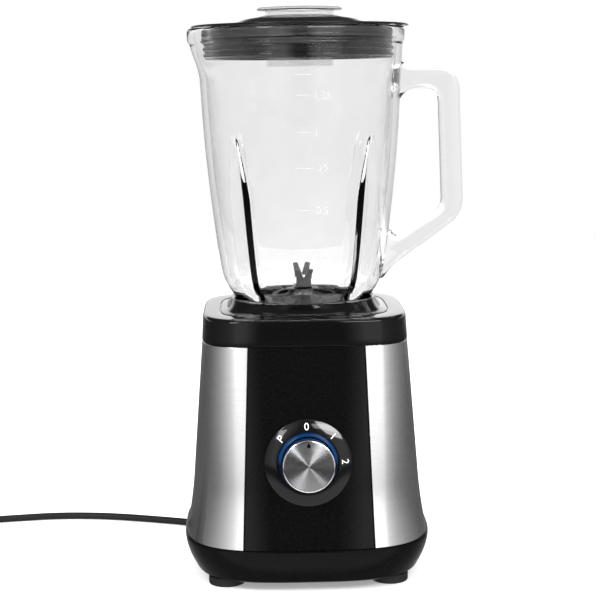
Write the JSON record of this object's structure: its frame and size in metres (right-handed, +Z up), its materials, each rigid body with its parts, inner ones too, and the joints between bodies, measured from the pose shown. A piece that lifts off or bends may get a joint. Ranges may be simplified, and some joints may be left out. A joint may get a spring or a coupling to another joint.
{
  "type": "countertop blender",
  "caption": "Countertop blender with a clear handled jug, pull-off lid with measuring cap, turning blades, and a steel-wrapped motor base with a front knob.",
  "frame": {"origin": "middle of the footprint of the whole object without its cord, on the table", "axes": "+Z up, controls towards -Y, jug handle towards +X"},
  "size_m": [0.4134, 0.2219, 0.3707],
  "materials": {
    "glass": "clear",
    "clear_plastic": "clear",
    "black_gloss": "gloss",
    "brushed_steel": "brushed",
    "polished_steel": "polished",
    "matte_black": "matte",
    "rubber": "matte",
    "lit_ring": "translucent",
    "circuit_board": "matte",
    "grey_plastic": "matte",
    "cast_bracket": "cast",
    "laminated_steel": "laminated",
    "copper": "enamelled",
    "bronze": "sintered",
    "carbon": "matte"
  },
  "bodies": {
    "base": {"bottom_tray": "matte_black", "brush_holder_left": "grey_plastic", "brush_holder_right": "grey_plastic", "carbon_brush_left": "carbon", "carbon_brush_right": "carbon", "cord": "rubber", "cord_coil": "rubber", "dial_bezel": "black_gloss", "field_coil_back": "copper", "field_coil_front": "copper", "foot_back_left": "rubber", "foot_back_right": "rubber", "foot_front_left": "rubber", "foot_front_right": "rubber", "foot_screw_back_left": "polished_steel", "foot_screw_back_right": "polished_steel", "foot_screw_front_left": "polished_steel", "foot_screw_front_right": "polished_steel", "front_panel": "black_gloss", "inner_housing": "matte_black", "interlock_switch": "matte_black", "led_board": "circuit_board", "light_ring": "lit_ring", "lower_bearing": "polished_steel", "lower_bracket": "cast_bracket", "motor_stator": "laminated_steel", "plug": "rubber", "rotary_switch": "grey_plastic", "steel_wrap": "brushed_steel", "strain_relief": "rubber", "top_cover": "black_gloss", "upper_bearing": "polished_steel", "upper_bracket": "cast_bracket"},
    "dial_knob": {"knob": "polished_steel", "knob_cap": "brushed_steel", "switch_shaft": "polished_steel"},
    "rotor": {"motor_shaft": "polished_steel", "armature_core": "laminated_steel", "winding_top": "copper", "winding_bottom": "copper", "commutator": "copper", "cooling_fan": "matte_black", "shaft_slinger": "rubber", "drive_coupling": "rubber"},
    "plunger": {"interlock_plunger": "grey_plastic"},
    "jug": {"glass_jug": "glass", "glass_handle": "glass", "jug_collar": "black_gloss", "jug_seal": "rubber", "blade_carrier": "brushed_steel", "blade_bush": "bronze"},
    "blade_set": {"blade_shaft": "polished_steel", "upper_blade": "polished_steel", "lower_blade": "polished_steel", "blade_washer": "polished_steel", "blade_nut": "polished_steel", "jug_coupling": "matte_black"},
    "lid": {"lid": "black_gloss", "lid_gasket": "rubber"},
    "measuring_cap": {"measuring_cap": "clear_plastic"}
  },
  "joints": [
    {"name": "knob_turn", "type": "hinge", "parent": "base", "child": "dial_knob", "pos_m": [-0.0127, -0.07961, 0.0847], "axis": [0, 0.9968, -0.0797], "range_deg": [-45, 90]},
    {"name": "motor_spin", "type": "hinge", "parent": "base", "child": "rotor", "pos_m": [-0.0127, -0.00677, 0.15], "axis": [0, 0, 1], "continuous": true},
    {"name": "jug_lift", "type": "slide", "parent": "base", "child": "jug", "axis": [0, 0, 1], "range_m": [0, 0.06]},
    {"name": "blade_spin", "type": "hinge", "parent": "jug", "child": "blade_set", "pos_m": [-0.0127, -0.00677, 0.15], "axis": [0, 0, 1], "continuous": true},
    {"name": "lid_lift", "type": "slide", "parent": "jug", "child": "lid", "axis": [0, 0, 1], "range_m": [0, 0.045]},
    {"name": "cap_lift", "type": "slide", "parent": "lid", "child": "measuring_cap", "axis": [0, 0, 1], "range_m": [0, 0.05]},
    {"name": "plunger_rise", "type": "slide", "parent": "base", "child": "plunger", "axis": [0, 0, 1], "range_m": [0, 0.0027]}
  ],
  "couplings": [
    {"joint": "blade_spin", "follows": "motor_spin", "ratio": 1},
    {"joint": "plunger_rise", "follows": "jug_lift", "ratio": 0.045}
  ]
}
